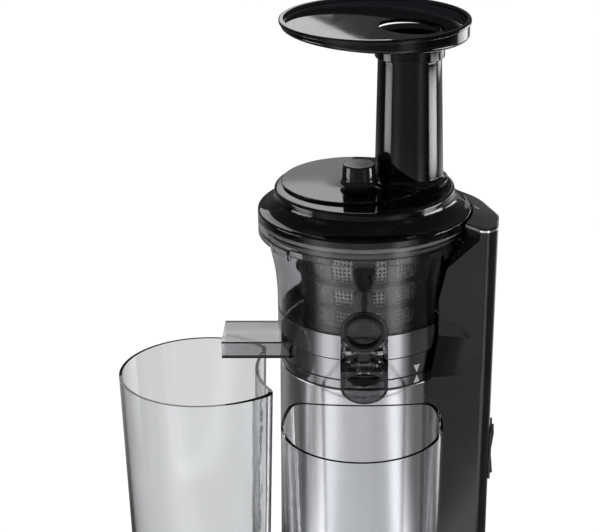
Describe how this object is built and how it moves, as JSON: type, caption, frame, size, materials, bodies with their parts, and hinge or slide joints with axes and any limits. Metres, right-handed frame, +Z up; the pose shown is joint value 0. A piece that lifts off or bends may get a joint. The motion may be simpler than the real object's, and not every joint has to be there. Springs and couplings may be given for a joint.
{
  "type": "vertical cold press juicer",
  "caption": "Vertical slow juicer: geared motor base with rear column, smoky bowl with squeezing screw, strainer and wiping brush, lid with feed tube and tray, juice and pulp cups.",
  "frame": {"origin": "on the bowl's axis, at the level of the table that the foot ring stands on", "axes": "+Z up along the bowl's axis, -Y the front of the machine, +Y the column's back, +X to the right seen from the front"},
  "size_m": [0.2611, 0.2377, 0.433],
  "materials": {
    "satin_silver": "satin",
    "gloss_black": "gloss",
    "dark_plastic": "matte",
    "bright_trim": "polished",
    "rubber": "matte",
    "steel": "brushed",
    "lamination": "matte",
    "copper": "satin",
    "gear_plastic": "satin",
    "cast_alloy": "cast",
    "silicone": "satin",
    "capacitor_shell": "matte",
    "switch_plastic": "satin",
    "smoke_clear": "clear gloss",
    "smoke_dark": "clear gloss",
    "strainer_plastic": "satin",
    "fine_mesh": "perforated",
    "brush_plastic": "satin",
    "screw_plastic": "satin",
    "clear_cup": "clear gloss"
  },
  "bodies": {
    "base": {"base_front_shell": "satin_silver", "base_rear_housing": "gloss_black", "base_deck": "dark_plastic", "deck_band": "satin_silver", "column_cap": "gloss_black", "column_trim": "bright_trim", "bottom_cover": "dark_plastic", "foot_ring": "rubber", "case_screws": "steel", "chassis_posts": "steel", "motor_lower_plate": "steel", "motor_upper_plate": "steel", "motor_can": "steel", "motor_stator": "lamination", "motor_windings": "copper", "idler_pin": "steel", "gearbox_case": "cast_alloy", "gearbox_lid": "cast_alloy", "deck_seal": "silicone", "capacitor": "capacitor_shell", "interlock_switch": "dark_plastic", "switch_frame": "dark_plastic", "cord_gland": "rubber"},
    "rotor": {"motor_rotor": "lamination"},
    "idler": {"idler_gear": "gear_plastic"},
    "output": {"output_shaft": "steel"},
    "rocker": {"rocker_switch": "switch_plastic"},
    "bowl": {"bowl": "smoke_clear", "spout": "smoke_clear", "chute": "smoke_clear", "bowl_band": "satin_silver", "bowl_foot_ring": "satin_silver", "hub_seal": "silicone", "cap_hinge_pin": "steel", "strainer_frame": "strainer_plastic", "strainer_mesh": "fine_mesh"},
    "planet": {"brush_gear": "gear_plastic"},
    "brush": {"brush_frame": "brush_plastic", "brush_wipers": "silicone"},
    "screw": {"screw": "screw_plastic"},
    "lid": {"lid": "smoke_dark", "lid_seal": "silicone", "lid_knob": "smoke_dark"},
    "tray": {"hopper_tray": "smoke_dark"},
    "juice_cap": {"juice_cap": "smoke_dark", "juice_cap_seal": "silicone"},
    "juice_cup": {"juice_cup": "clear_cup"},
    "pulp_cup": {"pulp_cup": "clear_cup"}
  },
  "joints": [
    {"name": "rotor_spin", "type": "hinge", "parent": "base", "child": "rotor", "pos_m": [0, 0, 0.055], "axis": [0, 0, 1], "continuous": true},
    {"name": "idler_spin", "type": "hinge", "parent": "base", "child": "idler", "pos_m": [0, 0.0297, 0.106], "axis": [0, 0, 1], "continuous": true},
    {"name": "output_spin", "type": "hinge", "parent": "base", "child": "output", "pos_m": [0, 0, 0.15], "axis": [0, 0, 1], "continuous": true},
    {"name": "rocker_tilt", "type": "hinge", "parent": "base", "child": "rocker", "pos_m": [0.07663, 0.05112, 0.11606], "axis": [-0.7254, 0.6884, 0], "range_deg": [-8, 8]},
    {"name": "bowl_lift", "type": "slide", "parent": "base", "child": "bowl", "axis": [0, 0, 1], "range_m": [0, 0.12]},
    {"name": "screw_spin", "type": "hinge", "parent": "bowl", "child": "screw", "pos_m": [0, 0, 0.25], "axis": [0, 0, 1], "continuous": true},
    {"name": "planet_spin", "type": "hinge", "parent": "bowl", "child": "planet", "pos_m": [0.018, 0.02145, 0.211], "axis": [0, 0, 1], "continuous": true},
    {"name": "brush_spin", "type": "hinge", "parent": "bowl", "child": "brush", "pos_m": [0, 0, 0.245], "axis": [0, 0, 1], "continuous": true},
    {"name": "lid_lift", "type": "slide", "parent": "bowl", "child": "lid", "axis": [0, 0, 1], "range_m": [0, 0.08]},
    {"name": "tray_lift", "type": "slide", "parent": "lid", "child": "tray", "axis": [0, 0, 1], "range_m": [0, 0.03]},
    {"name": "juice_cap_hinge", "type": "hinge", "parent": "bowl", "child": "juice_cap", "pos_m": [0.07111, -0.05967, 0.21532], "axis": [0.6428, 0.766, 0], "range_deg": [0, 188]},
    {"name": "juice_cup_slide", "type": "slide", "parent": "base", "child": "juice_cup", "axis": [0.766, -0.6428, 0], "range_m": [0, 0.12]},
    {"name": "pulp_cup_slide", "type": "slide", "parent": "base", "child": "pulp_cup", "axis": [-0.6428, -0.766, 0], "range_m": [0, 0.12]}
  ],
  "couplings": [
    {"joint": "idler_spin", "follows": "rotor_spin", "ratio": -0.17857},
    {"joint": "output_spin", "follows": "rotor_spin", "ratio": 0.031888},
    {"joint": "screw_spin", "follows": "rotor_spin", "ratio": 0.031888},
    {"joint": "planet_spin", "follows": "rotor_spin", "ratio": -0.042517},
    {"joint": "brush_spin", "follows": "rotor_spin", "ratio": -0.012755}
  ]
}
